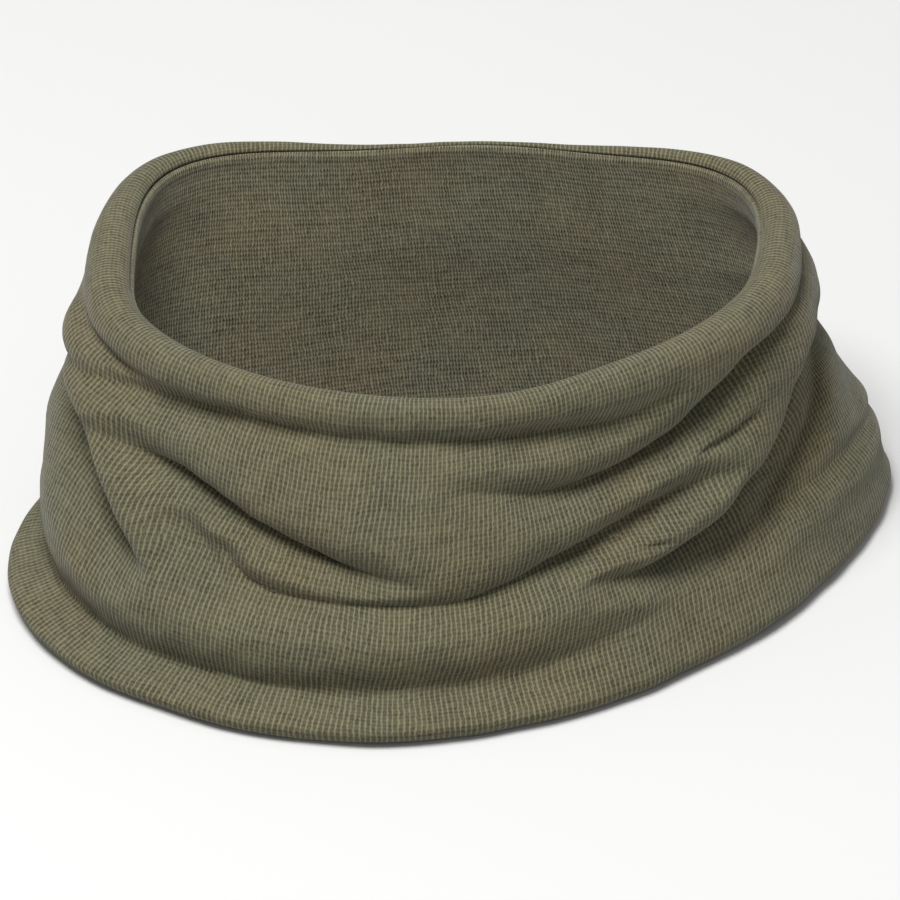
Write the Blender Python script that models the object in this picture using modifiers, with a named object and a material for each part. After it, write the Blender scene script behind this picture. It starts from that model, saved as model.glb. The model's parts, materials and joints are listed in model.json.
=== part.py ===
"""Neck gaiter: a two-ply tube of rib-knit fabric that stands on its hem as a soft, scrunched collar.

Metres, +Z up. The origin is on the floor, under the middle of the box round the whole gaiter.
-Y is the front, where the rim is lowest, +Y the back, and azimuths run anticlockwise from +X.

The wall is a line between two rolls: the hem roll on the floor and the rim roll at the top. The
outer shell and the inner lining lie on its two sides, joined end to end inside both rolls.
"""

import math

import bmesh
import bpy
from mathutils import Matrix, Vector

MM = 0.001

# Driving dimensions
HEM_LONG_HALF = 100 * MM  # hem roll's middle line, a turned ellipse with a flattened back
HEM_SHORT_HALF = 75 * MM
HEM_TURN = math.radians(25)
HEM_BACK_FLATTENED = 0.37
HEM_FLAT_FROM = 65 * MM
RIM_HALF_WIDTH = 75 * MM  # rim roll's middle line, straight at the back and round at the front
RIM_HALF_DEPTH = 46.75 * MM
RIM_MIDDLE_Y = 6.75 * MM
RIM_FRONT_HEIGHT = 60 * MM
RIM_BACK_RISE = 2.5 * MM
MIDDLE_SHIFT = 13.055 * MM  # both rings stand this far back, to centre the whole on the origin
ROLL_RADIUS = 4 * MM
PLY = 0.9 * MM  # thickness of one ply of fabric
WALL_HALF_FRONT = 2.5 * MM  # from the wall's middle to the face of either ply
WALL_HALF_BACK = 3.6 * MM
DEEPEST_CREASE = 7 * MM
ROLL_SHARE = 0.16  # share of the wall's height over which a roll narrows to the flat wall
CLEARANCE = 0.3 * MM  # between pieces that touch

# How finely the plies are divided
AROUND = 54
ALONG = 15
WALL_LEVELS = [(step + 0.5) / ALONG for step in range(ALONG)]

# The flat strip that the hem stands on, as an angle each side of straight down
FOOT_ANGLE = math.radians(16)
# Where each ply ends inside a roll, on the side that faces the neck
SEAM_ANGLE = math.radians(152)
SEAM_GAP_ANGLE = math.radians(20)

THREAD_RADIUS = 0.5 * MM
HEM_ROLL_HEIGHT = ROLL_RADIUS * math.cos(FOOT_ANGLE)

# Seams and the turning gap in the hem, as azimuths in degrees
SHELL_SEAM_AT = 159
LINING_SEAM_AT = 166
TURNING_GAP = (74, 106)

# Care label: a blank ribbon folded in two, hung by its top edge on the lining
LABEL_AT = 166
LABEL_TOP = 34 * MM
LABEL_WIDTH = 14 * MM
LABEL_LENGTH = 23 * MM
LABEL_THICKNESS = 1.0 * MM
TACK_HEIGHT = 1.6 * MM

# Creases: (azimuth in degrees, height in mm) along each one, its depth and half-width in mm, and
# the azimuth in degrees over which it fades in and out at its ends.
CREASES = (
    ("under_rim", ((0, 57), (45, 56), (90, 57), (135, 56), (172, 52), (186, 50), (203, 53),
                   (227, 55.5), (270, 56.5), (300, 56), (322, 56.5), (340, 58), (360, 57)), 4, 4.5, 0),
    ("right_branch", ((280, 46), (297, 45), (315, 47), (331, 52), (348, 56)), 4.5, 5, 14),
    ("front_u", ((226, 31), (241, 27.5), (266, 27), (286, 29.5), (307, 37), (334, 41)), 5, 5, 12),
    ("left_diagonal", ((194, 45), (210, 44), (236, 38), (257, 32.5), (274, 30)), 5, 5, 12),
    ("right_deep", ((296, 25.5), (314, 26), (332, 31.5), (347, 41), (372, 43), (410, 39),
                    (455, 36), (490, 40)), 5, 5, 14),
    ("left_hollow", ((176, 39), (185, 33), (195, 26), (206, 20)), 4, 5, 9),
    ("back_low", ((20, 22), (60, 25), (100, 20), (128, 18)), 4, 5, 16),
    ("above_hem", ((180, 9), (208, 10), (252, 11), (293, 12.5), (330, 14)), 2.5, 4.5, 20),
)


def ease(value):
    """0 below 0, 1 above 1 and a smooth step between."""
    value = min(max(value, 0.0), 1.0)
    return value * value * (3 - 2 * value)


def hem_line(azimuth):
    """Plan position of the hem roll's middle line."""
    turn = Matrix.Rotation(HEM_TURN, 2)
    along = azimuth - HEM_TURN
    place = turn @ Vector((HEM_LONG_HALF * math.cos(along), HEM_SHORT_HALF * math.sin(along)))
    place.y *= 1 - HEM_BACK_FLATTENED * ease(place.y / HEM_FLAT_FROM)
    place.y += MIDDLE_SHIFT
    return place


def rim_line(azimuth):
    """Plan position of the rim roll's middle line: an ellipse whose back half is squared off."""
    across, deep = math.cos(azimuth), math.sin(azimuth)
    power = 2.05 + 2.2 * max(deep, 0) ** 0.7
    radius = (abs(across / RIM_HALF_WIDTH) ** power + abs(deep / RIM_HALF_DEPTH) ** power) ** (-1 / power)
    return Vector((radius * across, RIM_MIDDLE_Y + MIDDLE_SHIFT + radius * deep))


def rim_height(azimuth):
    """Height of the rim roll's middle line, a little higher at the back."""
    return RIM_FRONT_HEIGHT + RIM_BACK_RISE * (1 + math.sin(azimuth)) / 2


def wall_line(azimuth, level):
    """The wall's middle before creasing, from the hem roll at level 0 to the rim roll at 1."""
    plan = hem_line(azimuth).lerp(rim_line(azimuth), level)
    height = HEM_ROLL_HEIGHT + (rim_height(azimuth) - HEM_ROLL_HEIGHT) * level
    return Vector((plan.x, plan.y, height))


def outward(azimuth, level):
    """Level direction square to the wall, away from the neck."""
    step = 0.01
    run = wall_line(azimuth + step, level) - wall_line(azimuth - step, level)
    return Vector((run.y, -run.x, 0)).normalized()


def front_share(azimuth):
    """1 round the front and the sides, easing to 0 at the back, where the lining lies smooth."""
    return ease(0.75 - 0.9 * math.sin(azimuth))


def crease_height(points, degrees):
    """Height of a crease at an azimuth, eased from each of its points to the next."""
    for (start, low), (end, high) in zip(points, points[1:]):
        if degrees <= end:
            return low + (high - low) * ease((degrees - start) / (end - start))
    return points[-1][1]


def crease_depth(azimuth, height):
    """How far the creases draw the wall inwards at a place on it."""
    total = 0.0
    for _, points, depth, half_width, fade in CREASES:
        first, last = points[0][0], points[-1][0]
        for turn in (0, 360):
            degrees = math.degrees(azimuth) % 360 + turn
            if not first <= degrees <= last or (turn and last <= 360):
                continue
            strength = 1.0
            if fade:
                strength = ease((degrees - first) / fade) * ease((last - degrees) / fade)
            away = (height / MM - crease_height(points, degrees)) / half_width
            total += strength * depth * math.exp(-abs(away) ** 1.5)
    return min(total * MM, DEEPEST_CREASE)


def ply_point(azimuth, level, side):
    """A point on the outside of the shell (side 1) or the neck side of the lining (side -1)."""
    middle = wall_line(azimuth, level)
    near_end = min(level, 1 - level) / ROLL_SHARE
    flat_reach = WALL_HALF_BACK + (WALL_HALF_FRONT - WALL_HALF_BACK) * front_share(azimuth)
    reach = ROLL_RADIUS + (flat_reach - ROLL_RADIUS) * ease(near_end)
    drawn_in = crease_depth(azimuth, middle.z) * ease(near_end * 1.5)
    if side < 0:
        drawn_in *= front_share(azimuth)
    return middle + outward(azimuth, level) * (side * reach - drawn_in)


def roll_point(azimuth, level, angle, radius=ROLL_RADIUS):
    """A point round the hem roll (level 0) or the rim roll (level 1); angle 0 faces outwards."""
    middle = wall_line(azimuth, level)
    point = middle + outward(azimuth, level) * radius * math.cos(angle)
    point.z = middle.z + radius * math.sin(angle)
    return point


def shell_row(azimuth):
    """The shell's outside at one azimuth: under the hem, up the wall and over the rim."""
    turns = (-SEAM_ANGLE, math.radians(-130), -math.pi / 2 - FOOT_ANGLE, -math.pi / 2 + FOOT_ANGLE,
             math.radians(-38))
    row = [roll_point(azimuth, 0, angle) for angle in turns]
    for point in row[2:4]:
        point.z = 0
    row += [ply_point(azimuth, level, 1) for level in WALL_LEVELS]
    row += [roll_point(azimuth, 1, math.radians(angle)) for angle in (30, 65, 100, 132)]
    row.append(roll_point(azimuth, 1, SEAM_ANGLE))
    return row


def lining_row(azimuth):
    """The lining's neck side at one azimuth, from the rim seam down to the hem seam."""
    start = SEAM_ANGLE + SEAM_GAP_ANGLE
    row = [roll_point(azimuth, 1, start)]
    row += [ply_point(azimuth, level, -1) for level in reversed(WALL_LEVELS)]
    row.append(roll_point(azimuth, 0, -start))
    return row


def material(name, colour, roughness):
    made = bpy.data.materials.new(name)
    made.use_nodes = True
    shader = made.node_tree.nodes["Principled BSDF"]
    shader.inputs["Base Color"].default_value = (*colour, 1)
    shader.inputs["Roughness"].default_value = roughness
    shader.inputs["Metallic"].default_value = 0
    made.diffuse_color = (*colour, 1)
    return made


def add_to_part(made, surface):
    """Puts an object in the part's collection with its material."""
    made.data.materials.append(surface)
    for owner in made.users_collection:
        owner.objects.unlink(made)
    bpy.data.collections["neck_gaiter"].objects.link(made)
    return made


def ply(name, row_at, surface):
    """One ply: rows of points joined round the neck, then given the fabric's thickness inwards."""
    rows = [row_at(2 * math.pi * step / AROUND) for step in range(AROUND)]
    mesh = bpy.data.meshes.new(name)
    builder = bmesh.new()
    corners = [[builder.verts.new(point) for point in row] for row in rows]
    for row, following in zip(corners, corners[1:] + corners[:1]):
        for low in range(len(row) - 1):
            builder.faces.new((row[low], following[low], following[low + 1], row[low + 1]))
    builder.to_mesh(mesh)
    builder.free()
    mesh.shade_smooth()
    made = bpy.data.objects.new(name, mesh)
    bpy.context.scene.collection.objects.link(made)
    thicken = made.modifiers.new("thickness", "SOLIDIFY")
    thicken.thickness = PLY
    thicken.offset = -1
    return add_to_part(made, surface)


def thread(name, points, surface, closed=False):
    """A line of stitching, drawn as one cord of the seam's bulk."""
    curve = bpy.data.curves.new(name, "CURVE")
    curve.dimensions = "3D"
    curve.bevel_depth = THREAD_RADIUS
    curve.bevel_resolution = 1
    curve.use_fill_caps = not closed
    spline = curve.splines.new("POLY")
    spline.points.add(len(points) - 1)
    for corner, point in zip(spline.points, points):
        corner.co = (*point, 1)
    spline.use_cyclic_u = closed
    made = bpy.data.objects.new(name, curve)
    bpy.context.scene.collection.objects.link(made)
    return add_to_part(made, surface)


def seam_place(azimuth, level):
    """Middle of the seam allowance inside a roll, just behind where the two plies meet."""
    meeting = SEAM_ANGLE + SEAM_GAP_ANGLE / 2
    radius = ROLL_RADIUS - PLY - CLEARANCE - THREAD_RADIUS
    return roll_point(azimuth, level, meeting if level else -meeting, radius)


def arc(first, last, steps):
    """Azimuths in radians from first to last, in degrees."""
    return [math.radians(first + (last - first) * step / steps) for step in range(steps + 1)]


def side_seam(name, degrees, side, surface):
    """The line of stitching up the hidden face of one ply."""
    azimuth = math.radians(degrees)
    hidden = outward(azimuth, 0.5) * -side * (PLY + 2 * CLEARANCE + THREAD_RADIUS)
    levels = [0.14 + 0.72 * step / 16 for step in range(17)]
    return thread(name, [ply_point(azimuth, level, side) + hidden for level in levels], surface)


def label_hinge():
    """Middle of the label's stitched top edge, and the label's facing direction."""
    azimuth = math.radians(LABEL_AT)
    height = LABEL_TOP - HEM_ROLL_HEIGHT
    level = height / (rim_height(azimuth) - HEM_ROLL_HEIGHT)
    face = -outward(azimuth, level)
    return ply_point(azimuth, level, -1) + face * (CLEARANCE * 4 + LABEL_THICKNESS / 2), face


def slab(name, size, middle, face, edge, surface):
    """A rounded flat piece, its thickness along face, its origin at middle and its body below it."""
    bpy.ops.mesh.primitive_cube_add(size=1)
    made = bpy.context.object
    made.name = name
    made.data.transform(Matrix.Translation((0, 0, -0.5)))
    made.data.transform(Matrix.Diagonal((*size, 1)))
    made.location = middle
    made.rotation_euler = (0, 0, math.atan2(face.y, face.x) - math.pi / 2)
    rounding = made.modifiers.new("rounding", "BEVEL")
    rounding.width = edge
    rounding.segments = 2
    return add_to_part(made, surface)


def build():
    for old in list(bpy.data.objects):
        bpy.data.objects.remove(old)
    bpy.context.scene.collection.children.link(bpy.data.collections.new("neck_gaiter"))

    knit = material("rib_knit_outer", (0.128, 0.124, 0.080), 0.92)
    lining_knit = material("rib_knit_lining", (0.110, 0.106, 0.068), 0.92)
    cotton = material("sewing_thread", (0.105, 0.102, 0.066), 0.75)
    ribbon = material("label_ribbon", (0.72, 0.70, 0.64), 0.6)

    ply("outer_shell", shell_row, knit)
    ply("inner_lining", lining_row, lining_knit)

    round_the_rim = arc(0, 360, AROUND)[:-1]
    thread("rim_seam", [seam_place(azimuth, 1) for azimuth in round_the_rim], cotton, closed=True)
    gap_start, gap_end = TURNING_GAP
    round_the_hem = arc(gap_end, gap_start + 360, AROUND)
    thread("hem_seam", [seam_place(azimuth, 0) for azimuth in round_the_hem], cotton)
    closing = arc(gap_start + 1.5, gap_end - 1.5, 8)
    thread("hem_closing_stitches", [seam_place(azimuth, 0) for azimuth in closing], cotton)

    side_seam("shell_side_seam", SHELL_SEAM_AT, 1, cotton)
    side_seam("lining_side_seam", LINING_SEAM_AT, -1, cotton)

    hinge, face = label_hinge()
    slab("care_label", (LABEL_WIDTH, LABEL_THICKNESS, LABEL_LENGTH), hinge, face, 0.3 * MM, ribbon)
    room_to_turn = LABEL_THICKNESS / 2 + CLEARANCE
    tack_top = hinge + Vector((0, 0, TACK_HEIGHT + room_to_turn)) - face * CLEARANCE
    slab("label_tack", (LABEL_WIDTH * 0.8, LABEL_THICKNESS, TACK_HEIGHT), tack_top, face, 0.3 * MM, cotton)


build()
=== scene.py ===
"""Neck gaiter: the looks. Both plies, their seams and the care label are built round the CAD frame.

Metres, in the frame of the CAD: +Z up, -Y to the front. Azimuths run anticlockwise from +X.
"""

import json
import math

import bpy
import numpy as np
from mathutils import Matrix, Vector, noise


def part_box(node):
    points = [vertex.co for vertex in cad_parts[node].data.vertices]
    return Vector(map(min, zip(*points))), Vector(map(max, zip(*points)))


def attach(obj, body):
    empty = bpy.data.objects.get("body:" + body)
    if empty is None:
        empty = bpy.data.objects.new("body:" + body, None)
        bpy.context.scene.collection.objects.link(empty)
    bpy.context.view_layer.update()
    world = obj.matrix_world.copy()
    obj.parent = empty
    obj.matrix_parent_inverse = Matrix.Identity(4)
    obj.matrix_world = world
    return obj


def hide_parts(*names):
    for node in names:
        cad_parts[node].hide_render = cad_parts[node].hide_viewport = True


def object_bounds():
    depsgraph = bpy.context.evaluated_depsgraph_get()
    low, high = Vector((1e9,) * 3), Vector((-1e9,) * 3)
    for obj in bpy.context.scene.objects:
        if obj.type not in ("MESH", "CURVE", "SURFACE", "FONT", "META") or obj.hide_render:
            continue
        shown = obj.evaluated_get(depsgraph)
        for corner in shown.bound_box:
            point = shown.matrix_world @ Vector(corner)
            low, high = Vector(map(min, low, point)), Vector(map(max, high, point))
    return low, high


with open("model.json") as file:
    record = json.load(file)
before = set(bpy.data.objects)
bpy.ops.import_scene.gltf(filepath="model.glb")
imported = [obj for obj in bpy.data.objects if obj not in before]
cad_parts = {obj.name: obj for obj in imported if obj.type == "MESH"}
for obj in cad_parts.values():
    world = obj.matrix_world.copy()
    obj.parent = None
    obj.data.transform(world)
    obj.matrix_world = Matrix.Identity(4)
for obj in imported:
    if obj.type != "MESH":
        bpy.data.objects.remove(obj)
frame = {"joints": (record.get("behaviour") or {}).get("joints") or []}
cad_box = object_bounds()

# The shape is set out in millimetres of a gaiter this wide, then scaled to the frame's own width
DRAWN_WIDTH = 198.3
MM = (cad_box[1][0] - cad_box[0][0]) / DRAWN_WIDTH

# Middle lines of the two rolls
HEM_LONG_HALF, HEM_SHORT_HALF, HEM_TURN = 100, 75, math.radians(25)
HEM_BACK_FLATTENED, HEM_FLAT_FROM = 0.37, 65
RIM_HALF_WIDTH, RIM_HALF_DEPTH, RIM_MIDDLE_Y = 75, 46.75, 6.75
RIM_ROUNDNESS, RIM_SQUARER_BEHIND = 2.05, 2.2  # powers of its outline: 2 is an ellipse, more is squarer
MIDDLE_SHIFT = 13.055
RIM_FRONT_HEIGHT, RIM_BACK_RISE = 60, 2.5
ROLL_RADIUS = 4.0
# Where the rim roll is fatter or thinner: azimuth, spread, and by how much
RIM_FULLNESS = ((182, 34, 1.6), (345, 30, 2.0), (88, 44, -2.4))
# Where the hem is drawn in from its plain outline: azimuth, spread, and by what share
HEM_TRIMS = ((166, 12, 0.03), (232, 26, 0.035), (316, 24, 0.045), (344, 14, 0.025))
# Where the rim leaves its plain outline: azimuth, spread, and how far along X, Y and Z
RIM_SHIFTS = (
    (318, 26, 0, 5, 1.0),
    (347, 24, -4, 3, 0),
    (25, 28, 2, 2, 1.5),
    (52, 18, 0, 0, -1.5),
    (80, 50, 0, 2.5, 4.5),
    (143, 22, -4.5, 3.5, 1.7),
    (185, 22, -1.2, 0, -0.5),
)
FOOT_ANGLE = math.radians(16)
HEM_ROLL_HEIGHT = ROLL_RADIUS * math.cos(FOOT_ANGLE)

PLY = 0.9
WALL_HALF_FRONT, WALL_HALF_BACK = 2.5, 3.6  # half the thickness of the two plies and the air between
ROLL_SHARE = 0.16  # the share of the wall's height that each roll runs out over
# How soon the folds reach their full depth beyond a roll, for the shell and for the lining
SHELL_FREE_AT_RIM, SHELL_FREE_AT_HEM, LINING_FREE = 3.0, 2.6, 1.5
FOLD_ROOM = 10.0  # how far the front of the shell may go in past the lining's rest place

# Steps of the meshes
AROUND = 400
WALL_STEPS = 88
ROLL_STEPS = 13
LINING_STEPS = 60
LINING_ROLL_STEPS = 6

TURNING_GAP = (74, 106)  # where the hem seam is left open to turn the gaiter through, in degrees

# Ribs round each ply, and courses of stitches up it
RIBS, LINING_RIBS = 410, 328
COURSES, LINING_COURSES = 100, 65


def ease(value):
    value = np.clip(value, 0, 1)
    return value * value * (3 - 2 * value)


def bell(value, spread):
    return np.exp(-((value / spread) ** 2))


def turn_from(azimuth, degrees):
    """How many degrees an azimuth lies from another, between -180 and 180."""
    return (np.degrees(azimuth) - degrees + 180) % 360 - 180


def hem_line(azimuth):
    """Middle of the hem roll, seen from above: a turned oval, flatter behind."""
    along = azimuth - HEM_TURN
    long_side, short_side = HEM_LONG_HALF * np.cos(along), HEM_SHORT_HALF * np.sin(along)
    x = long_side * math.cos(HEM_TURN) - short_side * math.sin(HEM_TURN)
    y = long_side * math.sin(HEM_TURN) + short_side * math.cos(HEM_TURN)
    y = y * (1 - HEM_BACK_FLATTENED * ease(y / HEM_FLAT_FROM))
    trim = 1.0
    for degrees, spread, share in HEM_TRIMS:
        trim = trim - share * bell(turn_from(azimuth, degrees), spread)
    return x * trim, y * trim + MIDDLE_SHIFT


def rim_radius(azimuth):
    radius = np.full_like(azimuth, ROLL_RADIUS)
    for degrees, spread, extra in RIM_FULLNESS:
        radius += extra * bell(turn_from(azimuth, degrees), spread)
    return radius


def rim_shift(azimuth, axis):
    total = np.zeros_like(azimuth)
    for degrees, spread, *shift in RIM_SHIFTS:
        total += shift[axis] * bell(turn_from(azimuth, degrees), spread)
    return total


def rim_line(azimuth):
    """Middle of the rim roll, seen from above: round in front, squarer behind."""
    across, deep = np.cos(azimuth), np.sin(azimuth)
    power = RIM_ROUNDNESS + RIM_SQUARER_BEHIND * np.maximum(deep, 0) ** 0.7
    wide, long = np.abs(across) / RIM_HALF_WIDTH, np.abs(deep) / RIM_HALF_DEPTH
    radius = (wide**power + long**power) ** (-1 / power)
    x = radius * across + rim_shift(azimuth, 0)
    y = RIM_MIDDLE_Y + MIDDLE_SHIFT + radius * deep + rim_shift(azimuth, 1)
    return x, y


def rim_height(azimuth):
    rise = RIM_BACK_RISE * (1 + np.sin(azimuth)) / 2
    return RIM_FRONT_HEIGHT + rise + rim_shift(azimuth, 2)


def wall_line(azimuth, level):
    """Middle of the wall, from the hem (level 0) to the rim (level 1), before any folds."""
    (hx, hy), (rx, ry) = hem_line(azimuth), rim_line(azimuth)
    x, y = hx + (rx - hx) * level, hy + (ry - hy) * level
    z = HEM_ROLL_HEIGHT + (rim_height(azimuth) - HEM_ROLL_HEIGHT) * level
    return np.stack([x, y, z], -1)


def along_ring(azimuth, level):
    """Level direction along the wall, anticlockwise."""
    run = wall_line(azimuth + 0.01, level) - wall_line(azimuth - 0.01, level)
    run[..., 2] = 0
    return run / np.linalg.norm(run, axis=-1, keepdims=True)


def facing_out(ring):
    """Level direction square to the ring, away from the neck."""
    return np.stack([ring[..., 1], -ring[..., 0], np.zeros_like(ring[..., 0])], -1)


# Creases. Each point of a path: azimuth, height, depth, and how far the fold above hangs over it.
# Then the widths of the crease above and below its bottom, and how far the fold above stands out.
# A crease with a push moves the cloth that way, and not straight in.
CREASES = {
    "under_rim": dict(
        path=(
            (-28, 61, 0, 0), (-16, 61, 2, 0.3), (0, 60, 4, 0.3), (25, 60, 3, 0.3), (60, 60, 1.5, 0.2),
            (100, 61, 1.5, 0.2), (140, 60, 2, 0.2), (165, 55, 4, 0), (180, 51.5, 6, 0),
            (188, 52.8, 6, 0.1), (199, 53.8, 6, 0.1), (212, 54.8, 6, 0.2), (226, 55.6, 4.5, 0.3),
            (250, 55, 3.5, 0.9), (272, 54.6, 4.6, 1), (297, 54.5, 5.5, 1), (311, 54, 4.5, 0.9),
            (320, 56.3, 3, 0.3), (331, 59, 0, 0),
        ),
        above=5, below=2.6, step=0,
    ),
    "right_branch": dict(
        path=(
            (268, 48, 0, 0), (281, 44.7, 3, 0.2), (295, 42.1, 7, 1), (311, 43.7, 8.5, 1.6),
            (320, 45.6, 9, 1.8), (329, 49.5, 8, 1.8), (336, 53.1, 7.5, 1.8), (344, 57.8, 5.5, 1.4),
            (352, 60.1, 3.5, 0.7), (360, 61, 2, 0.3),
        ),
        above=5, below=2.8, step=1.5,
    ),
    "front_u": dict(
        path=(
            (222, 34, 0, 0), (229, 30.4, 5, 0), (236, 26.1, 7, 0.3), (243, 24.6, 6.5, 1),
            (252, 24.3, 6, 1.4), (266, 24.1, 6.3, 1.6), (278, 24.8, 6.5, 1.6), (285, 26.6, 6.5, 1.6),
            (293, 28.5, 8.5, 1.6), (308, 32.3, 8.5, 1.4), (318, 34.8, 7, 0.7), (327, 36.1, 4, 0),
            (338, 37, 0, 0),
        ),
        above=5, below=2.8, step=1.5,
    ),
    "left_diagonal": dict(
        path=(
            (194, 46, 0, 0), (202, 44.4, 4, 0.2), (209, 42.2, 7, 0.8), (215, 41, 8.5, 1.3),
            (220, 39.6, 9.5, 1.6), (229, 37, 10, 1.6), (238, 34.6, 10, 1.6), (247, 32.6, 10, 1.4),
            (257, 30.8, 8, 0.9), (266, 29.8, 4, 0.3), (276, 30, 0, 0),
        ),
        above=4.6, below=2.6, step=2,
    ),
    "right_deep": dict(
        path=(
            (292, 25.5, 0, 0), (302, 22.9, 4, 0.2), (310, 21.9, 7, 1), (317, 23.3, 9.5, 1.6),
            (324, 24.7, 10, 1.9), (331, 28.2, 10, 1.9), (338, 31.2, 10, 1.9), (345, 35.6, 10, 1.9),
            (351, 40.4, 10, 1.8), (358, 45.3, 9, 1.4), (372, 47, 6, 0.7), (410, 40, 5, 0.5),
            (455, 36, 5, 0.3), (490, 40, 0, 0),
        ),
        above=5.5, below=3.2, step=3.5,
    ),
    "right_between": dict(
        path=(
            (296, 29.5, 0, 0), (305, 28.5, 4, 0), (314, 29, 3.5, 0), (322, 31, 0, 0),
        ),
        above=1.6, below=1.6, step=0,
    ),
    "right_pinch": dict(
        path=(
            (318, 41.5, 0, 0), (327, 42.5, 3.5, 0.5), (334, 43.5, 3.5, 0.5), (342, 46, 0, 0),
        ),
        above=1.6, below=2, step=0,
    ),
    "left_hollow": dict(
        path=(
            (176, 48, 0, 0), (183, 46.5, 5, 0.6), (189, 44.5, 9, 1.6), (194, 41.5, 11, 2.2),
            (200, 36.8, 11, 2.2), (205, 32.4, 10.5, 2), (210, 28, 8, 1.2), (215, 24.5, 4, 0.4),
            (221, 22, 0, 0),
        ),
        above=2.2, below=7, step=3.6,
    ),
    "left_pocket": dict(
        path=(
            (214, 36, 0, 0), (221, 33, 4, 0), (228, 28.5, 6.5, 0), (236, 24.5, 5, 0), (244, 22, 0, 0),
        ),
        above=4.5, below=4, step=0,
    ),
    "right_valley": dict(
        path=(
            (306, 17, 0, 0), (318, 19, 4, 0), (332, 22.5, 8, 0), (344, 28, 9, 0), (354, 34, 8, 0),
            (362, 39, 4, 0), (370, 42, 0, 0),
        ),
        above=4.5, below=5, step=0, push=(-0.25, 0.8, -0.5),
    ),
    "flange_edge": dict(
        path=(
            (325, 22, 0, 0), (346, 21, 2.5, 0), (356, 20, 3, 0), (375, 17, 3, 0), (395, 15, 0, 0),
        ),
        above=3, below=3, step=0,
    ),
    "above_hem": dict(
        path=(
            (140, 7, 0, 0), (165, 7.5, 5, 0), (185, 7.8, 8.5, 0), (198, 7.2, 9.5, 0), (208, 6.8, 10, 0),
            (223, 5.8, 10, 0), (239, 6, 10, 0), (252, 6.6, 9, 0), (268, 7.6, 8, 0), (281, 8.6, 6.5, 0),
            (293, 10.4, 4.5, 0), (304, 13.6, 2, 0), (325, 18, 0, 0),
        ),
        above=5.6, below=4.2, step=0,
    ),
    "rim_dimple": dict(
        path=(
            (176, 61.5, 0, 0), (184, 60.5, 5, 0), (192, 59, 5, 0), (200, 57.5, 4, 0),
            (210, 57.5, 0, 0),
        ),
        above=3.4, below=3.4, step=0,
    ),
    "back_low": dict(
        path=(
            (20, 22, 0, 0), (60, 25, 4, 1), (100, 20, 4, 1), (128, 18, 0, 0),
        ),
        above=3, below=4, step=0,
    ),
}
LIP = 3.4  # how far above the bottom of a crease its fold hangs over most
SOFT_BOTTOM = 0.5  # rounding of the bottom of a crease
CREASE_POWER = 1.35  # 1 is a sharp crease, 2 a smooth trough
STEP_REACH = 8.0  # how far above a crease its fold stands out
STEP_FULL_DEPTH = 8  # depth of the crease at which it stands out by its whole step

# Full places and hollow ones: azimuth, height, spread in each, how far out
SWELLS = (
    (0, 52, 22, 5, 2.5),
    (18, 41, 22, 5, -4),
    (17, 30, 20, 5, -0.5),
    (14, 17, 24, 6, 4.5),
    (182, 53.5, 17, 4.8, 8.0),
    (175, 34, 10, 9, 3.0),
    (268, 20, 60, 7, 1.2),
)


def along_path(path, degrees):
    """Height, its slope in mm per degree, depth and overhang along a crease, on smooth curves."""
    where, *tracks = np.array(path, float).T
    at = np.clip(degrees, where[0], where[-1])
    piece = np.clip(np.searchsorted(where, at, side="right") - 1, 0, len(where) - 2)
    span = where[piece + 1] - where[piece]
    t = (at - where[piece]) / span
    inside = (degrees > where[0]) & (degrees < where[-1])
    found = []
    for track in tracks:
        slope = np.gradient(track, where)
        first, second = track[piece], track[piece + 1]
        leaving, reaching = slope[piece] * span, slope[piece + 1] * span
        found.append((2 * t**3 - 3 * t**2 + 1) * first + (t**3 - 2 * t**2 + t) * leaving
                     + (3 * t**2 - 2 * t**3) * second + (t**3 - t**2) * reaching)
        found.append(((6 * t**2 - 6 * t) * (first - second) + (3 * t**2 - 4 * t + 1) * leaving
                      + (3 * t**2 - 2 * t) * reaching) / span)
    height, tilt, depth, _, hang, _ = found
    return height, tilt, np.maximum(depth, 0) * inside, np.maximum(hang, 0) * inside


MM_PER_DEGREE = 1.4  # the way round the wall, on average


def creasing(azimuth, height):
    """How far the folds move places on the wall outwards, along the ring and upwards, and any push."""
    inward, outward, sideways, upward = (np.zeros_like(height) for _ in range(4))
    push = np.zeros(height.shape + (3,))
    for crease in CREASES.values():
        for turn in (-360, 0, 360):
            middle, slope, depth, hang = along_path(crease["path"], np.degrees(azimuth) + turn)
            if not depth.any():
                continue
            tilt = slope / MM_PER_DEGREE
            lean = np.sqrt(1 + tilt**2)
            away = (height - middle) / lean
            above = np.maximum(away, 0)
            width = np.where(away > 0, crease["above"], crease["below"])
            near = depth * np.exp(-(np.sqrt(away**2 + SOFT_BOTTOM**2) / width) ** CREASE_POWER)
            if "push" in crease:
                push += near[..., None] * np.array(crease["push"])
            else:
                inward = np.maximum(inward, near)
            stands_out = crease["step"] * depth / STEP_FULL_DEPTH
            outward += stands_out * (above / LIP) * bell(above, STEP_REACH)
            droop = hang * (above / LIP) * np.exp(1 - above / LIP)
            upward -= droop / lean
            sideways += droop * tilt / lean
    return outward - inward, sideways, upward, push


def front_share(azimuth):
    """1 in front, where the folds are, to 0 behind, where the lining stays smooth."""
    return ease(0.75 - 0.9 * np.sin(azimuth))


def swelling(azimuth, height):
    total = np.zeros_like(height)
    for degrees, middle, wide, tall, out in SWELLS:
        total += out * bell(turn_from(azimuth, degrees), wide) * bell(height - middle, tall)
    return total


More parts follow.
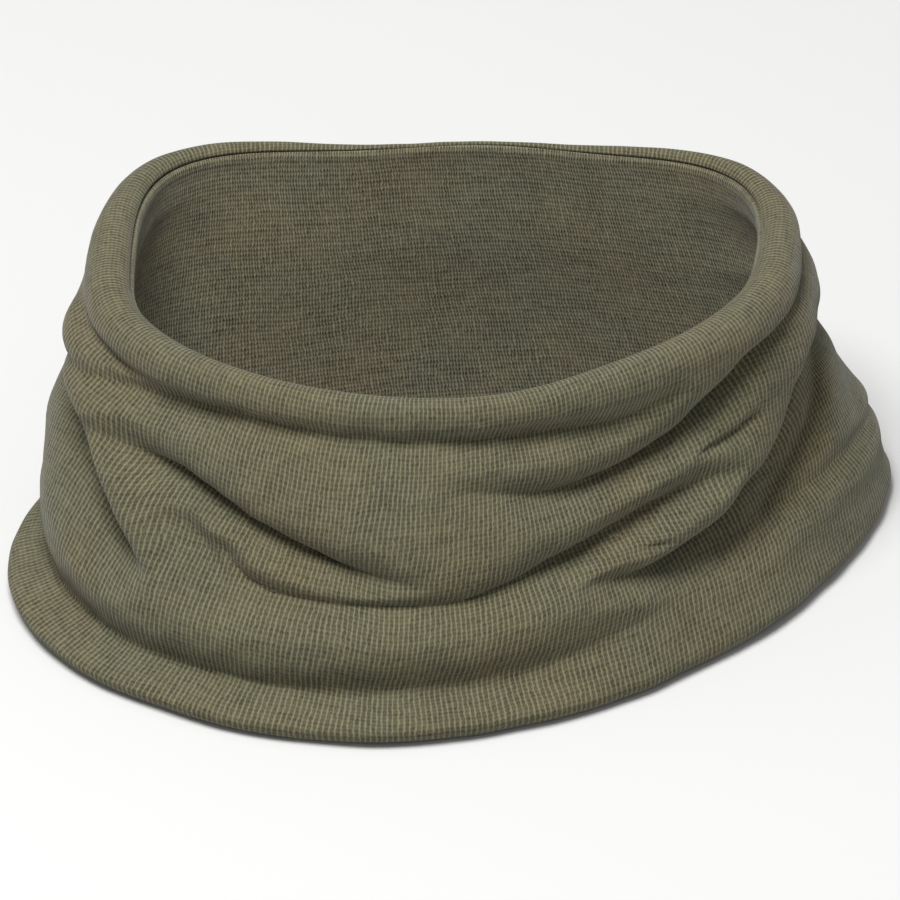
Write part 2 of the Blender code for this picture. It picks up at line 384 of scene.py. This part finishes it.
def ply_points(azimuth, level, side):
    """Outside of the shell (side 1) or neck side of the lining (-1) on the wall."""
    middle = wall_line(azimuth, level)
    ring = along_ring(azimuth, level)
    out = facing_out(ring)
    near_end = np.minimum(level, 1 - level) / ROLL_SHARE
    share = front_share(azimuth)
    flat = WALL_HALF_BACK + (WALL_HALF_FRONT - WALL_HALF_BACK) * share
    end_radius = np.where(level > 0.5, rim_radius(azimuth), ROLL_RADIUS)
    reach = end_radius + (flat - end_radius) * ease(near_end * (1 if side > 0 else 0.4))
    outward, sideways, upward, push = creasing(azimuth, middle[..., 2])
    outward = outward + swelling(azimuth, middle[..., 2])
    if side > 0:
        allowed = ease(near_end * np.where(level > 0.5, SHELL_FREE_AT_RIM, SHELL_FREE_AT_HEM))
        limit = 2 * flat - 2 * PLY - 0.6 + FOLD_ROOM * share
        move = reach + allowed * np.maximum(outward, -limit)
        point = middle + out * move[..., None] + ring * (sideways * allowed)[..., None]
        point += push * allowed[..., None]
        point[..., 2] += upward * allowed
    else:
        allowed = ease(near_end * LINING_FREE)
        move = -reach + allowed * share * outward
        point = middle + out * move[..., None] + push * (allowed * share)[..., None]
    return point


def roll_points(azimuth, level, angle, tuck=1.0):
    """Round the hem roll (level 0) or the rim roll (level 1), angle 0 facing out."""
    radius = (rim_radius(azimuth) if level else ROLL_RADIUS) * tuck
    level = np.full_like(azimuth, float(level))
    middle = wall_line(azimuth, level)
    ring = along_ring(azimuth, level)
    out = facing_out(ring)
    point = middle + out * (radius * np.cos(angle))[..., None]
    point[..., 2] += radius * np.sin(angle)
    return point


# Where the plies meet inside a roll: angles from straight out, and how far each edge is tucked in
SHELL_EDGE = ((150, 0.98), (154, 0.92), (156, 0.80), (157, 0.62))
LINING_EDGE = ((159, 0.62), (160, 0.80), (162, 0.92), (166, 0.98))


SEAM_LIFT, SEAM_LIFT_SPREAD = 46, 56


def seam_lift(azimuth):
    """How much further up the rim's roll the seam lies at the back than in front, in radians."""
    return math.radians(SEAM_LIFT) * bell(turn_from(azimuth, 90), SEAM_LIFT_SPREAD)


def edge_points(azimuth, level, edge):
    """The last rows of a ply round a roll, tucked in to the seam."""
    angles, tuck = np.array(edge).T
    angle = np.radians(angles) - seam_lift(azimuth) if level else -np.radians(angles)
    around, angle = np.broadcast_arrays(azimuth, angle)
    return roll_points(around, level, angle, tuck)


def shell_grid():
    azimuth = np.linspace(0, 2 * np.pi, AROUND + 1)[:, None]
    last = math.radians(SHELL_EDGE[0][0])
    under_angle = np.linspace(-last, 0, ROLL_STEPS, endpoint=False)[None, 1:]
    under = np.broadcast_arrays(azimuth, under_angle)
    up = np.broadcast_arrays(azimuth, np.linspace(0, 1, WALL_STEPS)[None, :])
    over_share = np.linspace(0, 1, ROLL_STEPS, endpoint=False)[None, 1:]
    over = np.broadcast_arrays(azimuth, over_share * (last - seam_lift(azimuth)))
    grid = np.concatenate([
        edge_points(azimuth, 0, SHELL_EDGE[::-1]),
        roll_points(under[0], 0, under[1]),
        ply_points(*up, 1),
        roll_points(over[0], 1, over[1]),
        edge_points(azimuth, 1, SHELL_EDGE),
    ], 1)
    grid[..., 2] = np.maximum(grid[..., 2], 0)
    rolled = len(SHELL_EDGE) + ROLL_STEPS - 1
    levels = np.concatenate([np.zeros(rolled), np.linspace(0, 1, WALL_STEPS), np.ones(rolled)])
    return grid, levels


def lining_grid():
    azimuth = np.linspace(0, 2 * np.pi, AROUND + 1)[:, None]
    first = math.radians(LINING_EDGE[-1][0]) - seam_lift(azimuth)
    inner_share = np.linspace(0, 1, LINING_ROLL_STEPS, endpoint=False)[None, 1:]
    inner = np.broadcast_arrays(azimuth, first + (math.pi - first) * inner_share)
    down = np.broadcast_arrays(azimuth, np.linspace(1, 0, LINING_STEPS)[None, :])
    grid = np.concatenate([
        edge_points(azimuth, 1, LINING_EDGE),
        roll_points(inner[0], 1, inner[1]),
        ply_points(*down, -1),
        edge_points(azimuth, 0, LINING_EDGE[::-1]),
    ], 1)
    edge = len(LINING_EDGE)
    rim_rows, hem_rows = np.ones(edge + LINING_ROLL_STEPS - 1), np.zeros(edge)
    return grid, np.concatenate([rim_rows, np.linspace(1, 0, LINING_STEPS), hem_rows])


CALM_ROWS, CALM_RUN_OUT = 5, 12  # rows at a ply's edges that stay even, and rows it takes to change
BROAD_ROUND, BROAD_UP, FINE_ROUND, FINE_UP = 26, 16, 9, 5
BROAD_SHARE, FINE_SHARE = 0.9, 0.45


def roughen(grid, seed, size):
    """Soft unevenness of worn knit, more along the folds than across them."""
    azimuth = np.linspace(0, 2 * np.pi, grid.shape[0])
    d_around = np.gradient(grid, axis=0)
    d_along = np.gradient(grid, axis=1)
    normal = np.cross(d_around, d_along)
    normal /= np.linalg.norm(normal, axis=-1, keepdims=True) + 1e-12
    rows, columns = grid.shape[:2]
    height = np.zeros((rows, columns))
    for i in range(rows - 1):
        angle = azimuth[i]
        for j in range(columns):
            x, y, z = grid[i, j]
            broad = noise.noise(Vector((x / BROAD_ROUND, y / BROAD_ROUND, z / BROAD_UP + seed)))
            round_x, round_y = math.cos(angle) * FINE_ROUND, math.sin(angle) * FINE_ROUND
            fine = noise.noise(Vector((round_x, round_y, z / FINE_UP + seed)))
            height[i, j] = BROAD_SHARE * broad + FINE_SHARE * fine
    height[-1] = height[0]
    from_edge = np.minimum(np.arange(columns), columns - 1 - np.arange(columns))
    calm = ease((from_edge - CALM_ROWS) / CALM_RUN_OUT)[None, :]
    return grid + normal * (height * calm * size)[..., None]


def share_round(azimuth, levels):
    """How far round the tube each azimuth is, as a share of the way round at each level."""
    line = wall_line(*np.broadcast_arrays(azimuth, levels[None, :]))
    steps = np.linalg.norm(np.diff(line, axis=0), axis=-1)
    run = np.concatenate([np.zeros((1, len(levels))), np.cumsum(steps, 0)], 0)
    return (run - run[len(run) // 4]) / run[-1:]  # counted from the middle of the back


def sheet_mesh(name, grid, levels):
    """Mesh of a ply, closed round the neck, with the knit's own map of wales and courses."""
    rows, columns = grid.shape[:2]
    rows -= 1
    points = grid[:-1].reshape(-1, 3) * MM
    mesh = bpy.data.meshes.new(name)
    i, j = np.meshgrid(np.arange(rows), np.arange(columns - 1), indexing="ij")
    following = (i + 1) % rows
    faces = np.stack([i * columns + j, following * columns + j, following * columns + j + 1,
                      i * columns + j + 1], -1).reshape(-1, 4)
    mesh.from_pydata(points.tolist(), [], faces.tolist())
    steps = np.linalg.norm(np.diff(grid, axis=1), axis=-1)
    run = np.concatenate([np.zeros((grid.shape[0], 1)), np.cumsum(steps, 1)], 1)
    run /= run[:, -1:]
    across = share_round(np.linspace(0, 2 * np.pi, rows + 1)[:, None], levels)
    corner_rows = np.stack([i, i + 1, i + 1, i], -1).reshape(-1)
    corner_columns = np.stack([j, j, j + 1, j + 1], -1).reshape(-1)
    layer = mesh.uv_layers.new(name="knit")
    places = np.stack([across[corner_rows, corner_columns], run[corner_rows, corner_columns]], -1)
    layer.data.foreach_set("uv", places.reshape(-1).astype(np.float32))
    mesh.shade_smooth()
    mesh.validate()
    return mesh


SIDES = 6


def strand(points, radius):
    """Corners, faces and map of one round thread with closed ends."""
    points = np.asarray(points, float)
    ahead = np.gradient(points, axis=0)
    ahead /= np.linalg.norm(ahead, axis=1, keepdims=True)
    side = np.empty_like(points)
    current = np.cross(ahead[0], (0.3, 0.2, 0.9))
    for index, direction in enumerate(ahead):
        current = current - direction * (current @ direction)
        current /= np.linalg.norm(current)
        side[index] = current
    other = np.cross(ahead, side)
    turns = np.linspace(0, 2 * np.pi, SIDES, endpoint=False)[None, :, None]
    ring = side[:, None] * np.cos(turns) + other[:, None] * np.sin(turns)
    corners = (points[:, None] + radius * ring).reshape(-1, 3)
    run = np.concatenate([[0], np.cumsum(np.linalg.norm(np.diff(points, axis=0), axis=1))])
    faces, places = [], []
    for i in range(len(points) - 1):
        for k in range(SIDES):
            following = (k + 1) % SIDES
            here, ahead_of_it = i * SIDES, (i + 1) * SIDES
            faces.append((here + k, here + following, ahead_of_it + following, ahead_of_it + k))
            low, high = k / SIDES, (k + 1) / SIDES
            places += [(run[i], low), (run[i], high), (run[i + 1], high), (run[i + 1], low)]
    last = (len(points) - 1) * SIDES
    faces.append(tuple(range(SIDES - 1, -1, -1)))
    faces.append(tuple(range(last, last + SIDES)))
    places += [(0, 0)] * SIDES + [(run[-1], 0)] * SIDES
    return corners, faces, places


def threads(name, strands, node, surface):
    """One object of several threads, standing for a CAD node."""
    corners, faces, places = [], [], []
    for points, radius in strands:
        more_corners, more_faces, more_places = strand(points, radius)
        start = len(corners)
        corners += (more_corners * MM).tolist()
        faces += [tuple(start + corner for corner in face) for face in more_faces]
        places += more_places
    mesh = bpy.data.meshes.new(name)
    mesh.from_pydata(corners, [], faces)
    layer = mesh.uv_layers.new(name="yarn")
    layer.data.foreach_set("uv", np.array(places, np.float32).reshape(-1))
    mesh.shade_smooth()
    made = add(bpy.data.objects.new(name, mesh), "gaiter", surface)
    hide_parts(node)


LOOPER, NEEDLE, TACK, LAID = 0.2, 0.16, 0.24, 0.22  # thread radii
POINTS_PER_STITCH = 10


def overlock(middle, across, lift, stitches, reach, rise):
    """Two loopers wrapped round the edges of a seam and the needle thread through it."""
    share = np.linspace(0, 1, stitches * POINTS_PER_STITCH + 1)
    phase = 2 * np.pi * stitches * share[:, None]
    centre, aside, up = middle(share), across(share), lift(share)
    wraps = [centre + aside * reach * np.cos(phase + start) + up * rise * np.sin(phase + start)
             for start in (0, np.pi)]
    needle = centre - aside * reach * 0.7 + up * rise * (1 + 0.25 * np.cos(phase))
    return [(wraps[0], LOOPER), (wraps[1], LOOPER), (needle, NEEDLE)]


SEAM_ANGLE = math.radians(158)  # where the plies meet inside a roll, from straight out


def roll_seam(level, first, last, stitches, tuck=0.46, share_reach=0.22, share_rise=0.26):
    """Overlocked edges inside a roll, between two azimuths in degrees."""

    def azimuth(share):
        return np.radians(first + (last - first) * share)

    def angle(share):
        return SEAM_ANGLE - seam_lift(azimuth(share)) if level else np.full_like(share, -SEAM_ANGLE)

    def section(share, turned):
        """Direction across the roll at the seam's angle plus a turn, one radius long."""
        at, facing = azimuth(share), angle(share) + turned
        out = facing_out(along_ring(at, np.full_like(at, float(level))))
        radius = np.minimum(rim_radius(at), ROLL_RADIUS) if level else np.full_like(at, ROLL_RADIUS)
        direction = out * np.cos(facing)[:, None]
        direction[:, 2] += np.sin(facing)
        return direction * radius[:, None]

    return overlock(
        lambda share: roll_points(azimuth(share), level, angle(share), tuck),
        lambda share: section(share, 0),
        lambda share: section(share, math.pi / 2),
        stitches, share_reach, share_rise,
    )


SIDE_SEAM_FOOT, SIDE_SEAM_RUN = 0.14, 0.72  # as shares of the wall's height
SIDE_SEAM_DEPTH, SIDE_SEAM_REACH, SIDE_SEAM_RISE = 0.65, 1.3, 0.4


def side_seam(degrees, side, stitches):
    """Overlocked line up the hidden face of a ply."""
    azimuth = math.radians(degrees)

    def along(share):
        return SIDE_SEAM_FOOT + SIDE_SEAM_RUN * share

    def ring_way(share):
        return along_ring(np.full_like(share, azimuth), along(share))

    def middle(share):
        face = ply_points(np.full_like(share, azimuth), along(share), side)
        return face - side * facing_out(ring_way(share)) * (PLY + SIDE_SEAM_DEPTH)

    return overlock(
        middle, ring_way, lambda share: facing_out(ring_way(share)),
        stitches, SIDE_SEAM_REACH, SIDE_SEAM_RISE,
    )


def label_frame():
    """Hinge of the care label, the way its top edge runs and the way it faces."""
    joint = next(joint for joint in frame["joints"] if joint["name"] == "label_flap")
    hinge = np.array(joint["pos_m"]) / MM
    along = np.array(joint["axis"])
    return hinge, along, np.array([-along[1], along[0], 0.0])


LABEL_WIDTH, LABEL_LENGTH, LABEL_HALF_LOOP = 14, 23, 0.27
LABEL_PLY, LABEL_CURL = 0.3, 0.35
TACK_STROKES, POINTS_PER_STROKE = 26, 8


def label_tack(surface):
    """Bar tack: close zigzag over two laid threads."""
    low, high = (np.array(corner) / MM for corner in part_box("label_tack"))
    _, along, face = label_frame()
    middle = (low + high) / 2 + face * 0.1
    half_width, half_height = LABEL_WIDTH * 0.4, (high[2] - low[2]) / 2
    share = np.linspace(-1, 1, TACK_STROKES * POINTS_PER_STROKE + 1)[:, None]
    swing = np.arcsin(np.sin(share * TACK_STROKES * np.pi)) / (np.pi / 2)
    zigzag = middle + along * half_width * share + np.array([0, 0, 1]) * half_height * swing
    zigzag = zigzag + face * 0.3 * np.cos(swing * np.pi / 2)
    straight = middle + along * half_width * np.linspace(-1, 1, 12)[:, None]
    laid = [(straight + np.array([0, 0, height]), LAID) for height in (-0.35, 0.35)]
    threads("tack", [(zigzag, TACK), *laid], "label_tack", surface)


def care_label(surface):
    """Blank woven ribbon folded in two, its fold hanging down."""
    hinge, along, face = label_frame()
    leaf, fold = 26, 9
    down = np.linspace(0, -(LABEL_LENGTH - LABEL_HALF_LOOP - LABEL_PLY / 2), leaf)
    turn = np.linspace(0, np.pi, fold)[1:-1]
    heights = np.concatenate([down, down[-1] - LABEL_HALF_LOOP * np.sin(turn), down[::-1]])
    depths = np.concatenate([np.full(leaf, LABEL_HALF_LOOP), LABEL_HALF_LOOP * np.cos(turn),
                             np.full(leaf, -LABEL_HALF_LOOP)])
    across = np.linspace(-0.5, 0.5, 15)
    hanging = (heights / LABEL_LENGTH)[:, None]
    curl = LABEL_CURL * hanging * np.cos(across * np.pi)[None, :] * np.sin(heights / 5)[:, None]
    sides = along[None, None] * (LABEL_WIDTH * across)[None, :, None]
    points = hinge + sides + face * (depths[:, None] + curl)[..., None]
    points = points + np.array([0, 0, 1]) * heights[:, None, None]
    rows, columns = points.shape[:2]
    faces, places = [], []
    for i in range(rows - 1):
        for j in range(columns - 1):
            here, below_it = i * columns + j, (i + 1) * columns + j
            faces.append((here, below_it, below_it + 1, here + 1))
            places += [(column / (columns - 1), row / (rows - 1))
                       for row, column in ((i, j), (i + 1, j), (i + 1, j + 1), (i, j + 1))]
    mesh = bpy.data.meshes.new("ribbon_label")
    mesh.from_pydata((points.reshape(-1, 3) * MM).tolist(), [], faces)
    layer = mesh.uv_layers.new(name="ribbon")
    layer.data.foreach_set("uv", np.array(places, np.float32).reshape(-1))
    mesh.shade_smooth()
    made = add(bpy.data.objects.new("ribbon_label", mesh), "label", surface)
    thicken = made.modifiers.new("thickness", "SOLIDIFY")
    thicken.thickness = LABEL_PLY * MM
    thicken.offset = 0
    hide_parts("care_label")


def add(obj, body, surface):
    bpy.context.scene.collection.objects.link(obj)
    obj.data.materials.append(surface)
    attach(obj, body)
    return obj


# Materials


class Nodes:
    """Short names for wiring a material."""

    def __init__(self, name):
        self.material = bpy.data.materials.new(name)
        self.material.use_nodes = True
        self.tree = self.material.node_tree
        self.shader = self.tree.nodes["Principled BSDF"]

    def add(self, kind, **settings):
        node = self.tree.nodes.new(kind)
        for key, value in settings.items():
            setattr(node, key, value)
        return node

    def link(self, source, target):
        self.tree.links.new(source, target)

    def math(self, operation, first, second=0.0, third=0.0):
        node = self.add("ShaderNodeMath", operation=operation)
        for socket, value in zip(node.inputs, (first, second, third)):
            if isinstance(value, (int, float)):
                socket.default_value = value
            else:
                self.link(value, socket)
        return node.outputs[0]

    def split_map(self, uv_map):
        """The two coordinates of one of the mesh's own maps."""
        split = self.add("ShaderNodeSeparateXYZ")
        self.link(self.add("ShaderNodeUVMap", uv_map=uv_map).outputs[0], split.inputs[0])
        return split.outputs[0], split.outputs[1]

    def speck(self, scale):
        texture = self.add("ShaderNodeTexNoise")
        texture.inputs["Scale"].default_value = scale
        return texture.outputs[0]

    def ramp(self, shade, dark, light, start=0.0, end=1.0):
        node = self.add("ShaderNodeValToRGB")
        for element, color, position in zip(node.color_ramp.elements, (dark, light), (start, end)):
            element.color = (*color, 1)
            element.position = position
        self.link(shade, node.inputs[0])
        return node.outputs[0]

    def bump(self, height, strength, distance):
        node = self.add("ShaderNodeBump")
        node.inputs["Strength"].default_value = strength
        node.inputs["Distance"].default_value = distance * MM
        self.link(height, node.inputs["Height"])
        self.link(node.outputs[0], self.shader.inputs["Normal"])

    def finish(self, roughness, sheen, sheen_roughness):
        self.shader.inputs["Roughness"].default_value = roughness
        self.shader.inputs["Sheen Weight"].default_value = sheen
        self.shader.inputs["Sheen Roughness"].default_value = sheen_roughness
        return self.material


def knit_material(name, groove_shade, crest, ribs, courses, even):
    """Fine 1x1 rib: raised and sunk wales of stitches, with narrow grooves between them.

    The more even it is, from 0 to 1, the more the raised and the sunk wales look alike.
    """
    n = Nodes(name)
    across, up = n.split_map("knit")
    coordinates = n.add("ShaderNodeTexCoord")

    def cloud(scale, detail):
        texture = n.add("ShaderNodeTexNoise", noise_dimensions="3D")
        texture.inputs["Scale"].default_value = scale
        texture.inputs["Detail"].default_value = detail
        n.link(coordinates.outputs["Object"], texture.inputs["Vector"])
        return texture.outputs[0]

    # Wales and courses that wander a little, by the stitch and over longer runs
    shift = n.math("MULTIPLY_ADD", cloud(700, 1), 0.5, -0.25)
    drift = n.math("MULTIPLY_ADD", cloud(60, 1), 1.6, -0.8)
    wander = n.math("ADD", shift, drift)
    wale = n.math("MULTIPLY_ADD", across, ribs, wander)
    course = n.math("MULTIPLY_ADD", up, courses, wander)
    turn = n.math("MULTIPLY", wale, 2 * math.pi)
    raised = n.math("COSINE", turn)
    wales = n.math("COSINE", n.math("MULTIPLY", turn, 2))
    legs = n.math("MULTIPLY_ADD", n.math("ABSOLUTE", n.math("SINE", turn)), 0.45, course)
    stitch = n.math("COSINE", n.math("MULTIPLY", legs, 2 * math.pi))
    relief = n.math("MULTIPLY_ADD", raised, 0.36 * (1 - even), 0.5)
    relief = n.math("MULTIPLY_ADD", wales, 0.08 + 0.22 * even, relief)
    relief = n.math("MULTIPLY_ADD", stitch, 0.12, relief)

    # Every stitch its own tone, yarn that varies along its course, and broad mottling
    cell = n.add("ShaderNodeCombineXYZ")
    n.link(n.math("FLOOR", n.math("MULTIPLY_ADD", wale, 2, 0.5)), cell.inputs[0])
    n.link(n.math("FLOOR", legs), cell.inputs[1])
    single = n.add("ShaderNodeTexWhiteNoise", noise_dimensions="2D")
    n.link(cell.outputs[0], single.inputs["Vector"])
    yarn_place = n.add("ShaderNodeCombineXYZ")
    n.link(n.math("MULTIPLY", across, ribs * 0.14), yarn_place.inputs[0])
    n.link(n.math("MULTIPLY", up, courses * 0.8), yarn_place.inputs[1])
    yarn = n.add("ShaderNodeTexNoise", noise_dimensions="2D")
    yarn.inputs["Scale"].default_value = 1
    yarn.inputs["Detail"].default_value = 2
    n.link(yarn_place.outputs[0], yarn.inputs["Vector"])
    tone = n.math("MULTIPLY_ADD", single.outputs[0], 0.14, n.math("MULTIPLY", yarn.outputs[0], 0.24))
    tone = n.math("MULTIPLY_ADD", cloud(90, 3), 0.16, tone)
    # The relief sets the colour too: the grooves between wales and stitches get painted shade, and the
    # tone adds the yarn's own variation
    shade = n.math("ADD", n.math("MULTIPLY_ADD", relief, 0.80, -0.16), tone)
    olive = n.ramp(shade, groove_shade, crest, 0.1, 0.9)

    # A browner cast here and there
    brown = n.add("ShaderNodeMixRGB", blend_type="MULTIPLY")
    brown.inputs["Color2"].default_value = (1.06, 0.96, 0.92, 1)
    n.link(n.math("MULTIPLY_ADD", cloud(45, 2), 3.0, -1.2), brown.inputs["Fac"])
    brown.use_clamp = True
    n.link(olive, brown.inputs["Color1"])
    n.link(brown.outputs[0], n.shader.inputs["Base Color"])
    n.bump(relief, 0.6, 0.3)
    n.shader.inputs["Specular IOR Level"].default_value = 0.2
    return n.finish(roughness=0.9, sheen=0.12, sheen_roughness=0.5)


def thread_material(name, dark, light):
    """Polyester sewing thread: two plies twisted together, with a soft shine."""
    n = Nodes(name)
    along, around = n.split_map("yarn")
    twist = n.math("MULTIPLY_ADD", along, 1.6, n.math("MULTIPLY", around, 2))
    plies = n.math("COSINE", n.math("MULTIPLY", twist, 2 * math.pi))
    plies = n.math("MULTIPLY_ADD", plies, 0.5, 0.5)
    # The ramp paints the lines between the twisted plies darker as painted shade; the specks are the
    # thread's own tone
    shade = n.math("MULTIPLY_ADD", n.speck(2400), 0.5, n.math("MULTIPLY", plies, 0.6))
    n.link(n.ramp(shade, dark, light), n.shader.inputs["Base Color"])
    n.bump(plies, 0.6, 0.08)
    return n.finish(roughness=0.6, sheen=0.2, sheen_roughness=0.4)


def ribbon_material(name, dark, light):
    """Satin ribbon: fine lengthwise floats, a denser selvedge down each edge, no printing."""
    n = Nodes(name)
    across, down = n.split_map("ribbon")
    warp, weft, slant = 56, 150, 14
    floats = n.math("SINE", n.math("MULTIPLY", across, 2 * math.pi * warp))
    leaning = n.math("MULTIPLY", across, 2 * math.pi * slant)
    picks = n.math("SINE", n.math("MULTIPLY_ADD", down, 2 * math.pi * weft, leaning))
    weave = n.math("MULTIPLY_ADD", floats, 0.28, n.math("MULTIPLY_ADD", picks, 0.22, 0.5))
    edge = n.math("ABSOLUTE", n.math("SUBTRACT", across, 0.5))
    selvedge = n.math("GREATER_THAN", edge, 0.455)
    # The weave sets the colour too: the gaps between the floats and picks are painted shade; the specks
    # are the ribbon's own tone
    shade = n.math("MULTIPLY_ADD", n.speck(600), 0.35, n.math("MULTIPLY", weave, 0.65))
    shade = n.math("SUBTRACT", shade, n.math("MULTIPLY", selvedge, 0.25))
    n.link(n.ramp(shade, dark, light), n.shader.inputs["Base Color"])
    n.bump(weave, 0.35, 0.06)
    return n.finish(roughness=0.42, sheen=0.25, sheen_roughness=0.35)


def floor():
    bpy.ops.mesh.primitive_plane_add(size=6)
    plane = bpy.context.object
    plane.name = "floor"
    surface = bpy.data.materials.new("floor_paper")
    surface.use_nodes = True
    shader = surface.node_tree.nodes["Principled BSDF"]
    shader.inputs["Base Color"].default_value = (0.60, 0.60, 0.595, 1)
    shader.inputs["Roughness"].default_value = 0.9
    plane.data.materials.append(surface)


def lamp(name, place, target, size, power):
    light = bpy.data.lights.new(name, "AREA")
    light.shape = "DISK"
    light.size = size
    light.energy = power
    made = bpy.data.objects.new(name, light)
    made.location = place
    made.rotation_euler = (Vector(target) - Vector(place)).to_track_quat("-Z", "Y").to_euler()
    bpy.context.scene.collection.objects.link(made)


CAMERA_ELEVATION = math.radians(35)
CAMERA_DISTANCE = 5.0
LOOKED_AT_HEIGHT = 0.032
SENSOR = 36
PICTURE_FILLED = 0.98144  # the share of the picture's width that the gaiter takes up


def camera():
    lens = bpy.data.cameras.new("camera")
    lens.sensor_width = SENSOR
    lens.lens = SENSOR * CAMERA_DISTANCE * PICTURE_FILLED / (DRAWN_WIDTH * MM)
    made = bpy.data.objects.new("camera", lens)
    target = Vector((0, 0, LOOKED_AT_HEIGHT))
    towards = Vector((0, -math.cos(CAMERA_ELEVATION), math.sin(CAMERA_ELEVATION)))
    made.location = target + CAMERA_DISTANCE * towards
    made.rotation_euler = (target - made.location).to_track_quat("-Z", "Y").to_euler()
    bpy.context.scene.collection.objects.link(made)
    bpy.context.scene.camera = made


def light_scene():
    world = bpy.data.worlds.new("studio")
    world.use_nodes = True
    world.node_tree.nodes["Background"].inputs[0].default_value = (1, 1, 1, 1)
    world.node_tree.nodes["Background"].inputs[1].default_value = 0.42
    bpy.context.scene.world = world
    lamp("key", (-0.24, -0.22, 1.32), (0, 0, 0.02), 0.7, 24)
    bpy.context.scene.view_settings.view_transform = "Standard"


def ply(name, grid, levels, surface, node):
    """One ply of the tube, with its thickness, standing for a CAD node."""
    made = bpy.data.objects.new(name, sheet_mesh(name, grid, levels))
    add(made, "gaiter", surface)
    thicken = made.modifiers.new("thickness", "SOLIDIFY")
    thicken.thickness = PLY * MM
    thicken.offset = -1
    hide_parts(node)


# Heathered olive: the depths between the stitches, painted dark as shade, and the tops of them
OUTER_GROOVE_SHADE, OUTER_CREST = (0.020, 0.0192, 0.0100), (0.176, 0.169, 0.102)
LINING_GROOVE_SHADE, LINING_CREST = (0.004, 0.0038, 0.002), (0.224, 0.213, 0.137)


def main():
    camera()
    light_scene()
    floor()
    outer_knit = knit_material("rib_knit_outer", OUTER_GROOVE_SHADE, OUTER_CREST, RIBS, COURSES, 0.2)
    lining_knit = knit_material(
        "rib_knit_lining", LINING_GROOVE_SHADE, LINING_CREST, LINING_RIBS, LINING_COURSES, 0.85,
    )
    grid, levels = shell_grid()
    grid = roughen(grid, 3.7, 0.8)
    ply("gaiter_shell", grid, levels, outer_knit, "outer_shell")
    grid, levels = lining_grid()
    ply("gaiter_lining", grid, levels, lining_knit, "inner_lining")

    cotton = thread_material("sewing_thread", (0.060, 0.058, 0.036), (0.150, 0.145, 0.095))
    threads("rim_overlock", roll_seam(1, 0, 360, 190), "rim_seam", cotton)
    gap_start, gap_end = TURNING_GAP
    threads("hem_overlock", roll_seam(0, gap_end, gap_start + 360, 215), "hem_seam", cotton)
    closing = roll_seam(0, gap_start + 1, gap_end - 1, 13, tuck=0.86, share_reach=0.16, share_rise=0.2)
    threads("closing_whipstitch", closing[:1], "hem_closing_stitches", cotton)
    threads("shell_overlock", side_seam(159, 1, 27), "shell_side_seam", cotton)
    threads("lining_overlock", side_seam(166, -1, 27), "lining_side_seam", cotton)
    label_tack(thread_material("tack_thread", (0.30, 0.29, 0.25), (0.62, 0.60, 0.53)))
    care_label(ribbon_material("label_ribbon", (0.42, 0.40, 0.34), (0.80, 0.78, 0.70)))


main()
